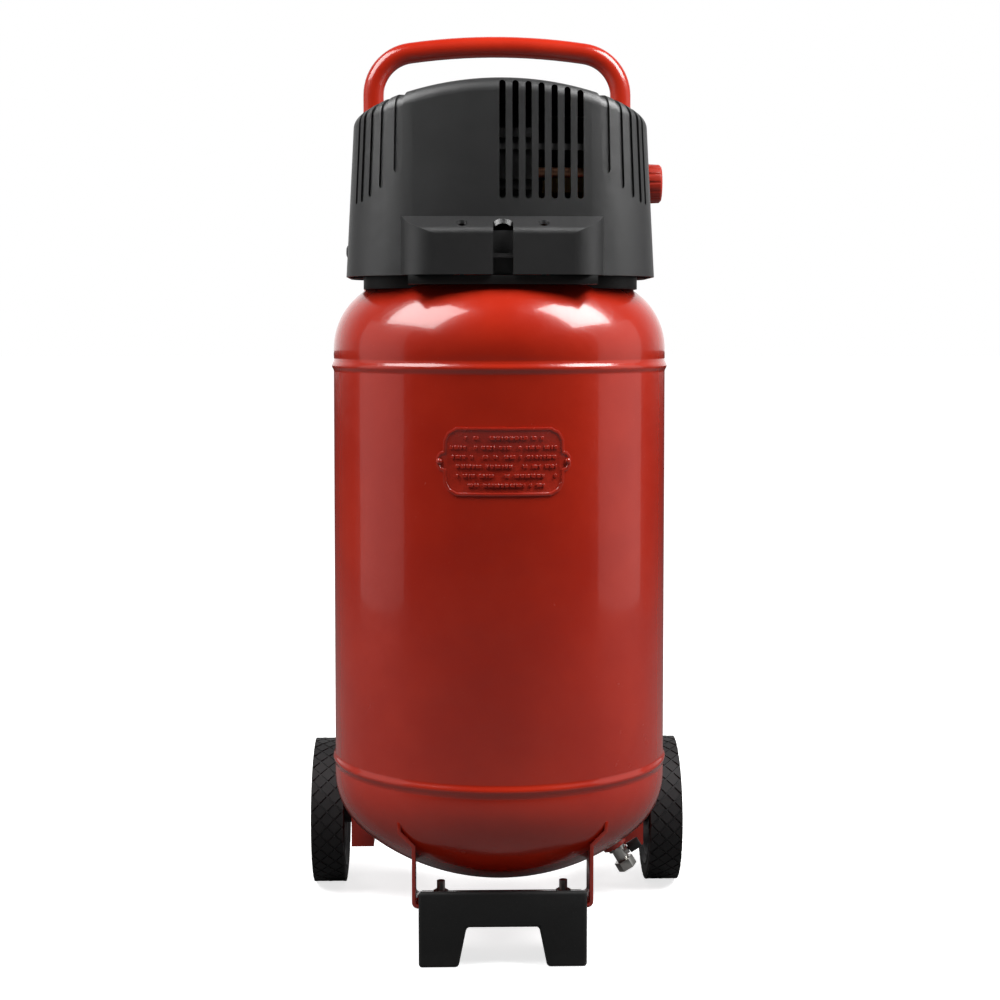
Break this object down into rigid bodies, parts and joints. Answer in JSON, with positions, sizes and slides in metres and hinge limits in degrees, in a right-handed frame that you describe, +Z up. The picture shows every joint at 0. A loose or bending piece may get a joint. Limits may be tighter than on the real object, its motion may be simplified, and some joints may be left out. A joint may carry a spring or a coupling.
{
  "type": "air compressor",
  "caption": "Upright oil-free air compressor: a vertical red steel tank on two wheels and a rubber foot, with a black pump shroud and a tubular handle.",
  "frame": {"origin": "middle of the footprint on the floor, under the object", "axes": "+Z up; -Y is the front, where the rubber foot is; +Y is the rear, where the wheels and controls are"},
  "size_m": [0.404, 0.4079, 0.9267],
  "materials": {
    "tank_red": "glossy red powder coat",
    "plate_metal": "pressed plate in the tank colour",
    "nickel": "nickel plated",
    "black_knob": "moulded black",
    "foot_rubber": "moulded black rubber",
    "hub_plastic": "moulded dark grey",
    "tyre_rubber": "black rubber with a diamond tread",
    "zinc_steel": "zinc plated steel",
    "shroud_plastic": "grained black plastic",
    "tray_plastic": "plain black plastic",
    "black_screws": "blackened steel",
    "cast_aluminium": "as cast",
    "stator_steel": "laminated steel",
    "fan_plastic": "moulded black",
    "copper_tube": "drawn copper",
    "brass": "machined brass",
    "knob_red": "moulded red",
    "gauge_case": "black lacquer",
    "dial_white": "white lacquer",
    "gauge_lens": "clear",
    "needle_black": "black lacquer"
  },
  "bodies": {
    "tank": {"tank_shell": "tank_red", "top_head": "tank_red", "bottom_head": "tank_red", "drain_bung": "tank_red", "rating_plate": "plate_metal", "drain_valve_body": "nickel", "rubber_foot": "foot_rubber", "foot_bracket": "tank_red", "wheel_bracket_right": "tank_red", "wheel_bracket_left": "tank_red", "frame_fasteners": "zinc_steel", "handle": "tank_red", "shroud_front": "shroud_plastic", "shroud_rear": "shroud_plastic", "base_tray": "tray_plastic", "shroud_screws": "black_screws", "pump_platform": "tank_red", "rubber_mounts": "foot_rubber", "motor_housing": "cast_aluminium", "stator": "stator_steel", "bearings": "zinc_steel", "capacitor": "tray_plastic", "crankcase": "cast_aluminium", "crankcase_cover": "cast_aluminium", "cylinder": "cast_aluminium", "valve_plate": "zinc_steel", "cylinder_head": "cast_aluminium", "intake_filter": "tray_plastic", "discharge_tube": "copper_tube", "check_valve": "brass", "unloader_tube": "copper_tube", "riser_pipe": "brass", "manifold": "brass", "regulator_body": "nickel", "outlet_elbow": "brass", "coupler_body": "nickel", "safety_valve": "brass", "pressure_switch": "tray_plastic", "gauge_cases": "gauge_case", "gauge_dials": "dial_white", "gauge_lenses": "gauge_lens", "cable_gland": "tray_plastic", "overload_switch": "tray_plastic"},
    "drain_knob": {"drain_knob": "black_knob"},
    "wheel_right": {"wheel_hub_right": "hub_plastic", "tyre_right": "tyre_rubber"},
    "wheel_left": {"wheel_hub_left": "hub_plastic", "tyre_left": "tyre_rubber"},
    "rotor": {"rotor": "stator_steel", "crank_disc": "stator_steel", "cooling_fan": "fan_plastic"},
    "connecting_rod": {"connecting_rod": "cast_aluminium"},
    "piston": {"piston": "cast_aluminium"},
    "coupler_sleeve": {"coupler_sleeve": "nickel"},
    "safety_ring": {"safety_ring": "zinc_steel"},
    "switch_knob": {"switch_knob": "knob_red"},
    "regulator_knob": {"regulator_knob": "knob_red"},
    "gauge_needle_tank": {"gauge_needle_tank": "needle_black"},
    "gauge_needle_outlet": {"gauge_needle_outlet": "needle_black"},
    "reset_button": {"reset_button": "knob_red"}
  },
  "joints": [
    {"name": "wheel_left_spin", "type": "hinge", "parent": "tank", "child": "wheel_left", "pos_m": [-0.184, 0.125, 0.079], "axis": [1, 0, 0], "continuous": true},
    {"name": "wheel_right_spin", "type": "hinge", "parent": "tank", "child": "wheel_right", "pos_m": [0.184, 0.125, 0.079], "axis": [1, 0, 0], "continuous": true},
    {"name": "rotor_spin", "type": "hinge", "parent": "tank", "child": "rotor", "pos_m": [0, -0.028, 0.776], "axis": [1, 0, 0], "continuous": true},
    {"name": "rod_swing", "type": "hinge", "parent": "rotor", "child": "connecting_rod", "pos_m": [-0.004, -0.036, 0.776], "axis": [1, 0, 0], "continuous": true},
    {"name": "piston_slide", "type": "slide", "parent": "tank", "child": "piston", "axis": [0, 1, 0], "range_m": [0, 0.016]},
    {"name": "regulator_turn", "type": "hinge", "parent": "tank", "child": "regulator_knob", "pos_m": [0.16, 0.011, 0.768], "axis": [1, 0, 0], "range_deg": [0, 720]},
    {"name": "switch_pull", "type": "slide", "parent": "tank", "child": "switch_knob", "axis": [0, 1, 0], "range_m": [0, 0.005]},
    {"name": "drain_turn", "type": "hinge", "parent": "tank", "child": "drain_knob", "pos_m": [0.13576, -0.033, 0.07748], "axis": [0.8572, 0, 0.515], "range_deg": [0, 90]},
    {"name": "safety_pull", "type": "slide", "parent": "tank", "child": "safety_ring", "axis": [0, 1, 0], "range_m": [0, 0.003], "stiffness_N_per_m": 1500},
    {"name": "coupler_release", "type": "slide", "parent": "tank", "child": "coupler_sleeve", "axis": [0, -1, 0], "range_m": [0, 0.006], "stiffness_N_per_m": 1200},
    {"name": "tank_gauge_turn", "type": "hinge", "parent": "tank", "child": "gauge_needle_tank", "pos_m": [0.046, 0.07, 0.768], "axis": [0, -1, 0], "range_deg": [0, 270]},
    {"name": "outlet_gauge_turn", "type": "hinge", "parent": "tank", "child": "gauge_needle_outlet", "pos_m": [0.092, 0.07, 0.768], "axis": [0, -1, 0], "range_deg": [0, 270]},
    {"name": "reset_press", "type": "slide", "parent": "tank", "child": "reset_button", "axis": [0, -1, 0], "range_m": [0, 0.003], "stiffness_N_per_m": 800}
  ],
  "couplings": [
    {"joint": "rod_swing", "follows": "rotor_spin", "ratio": -1}
  ]
}
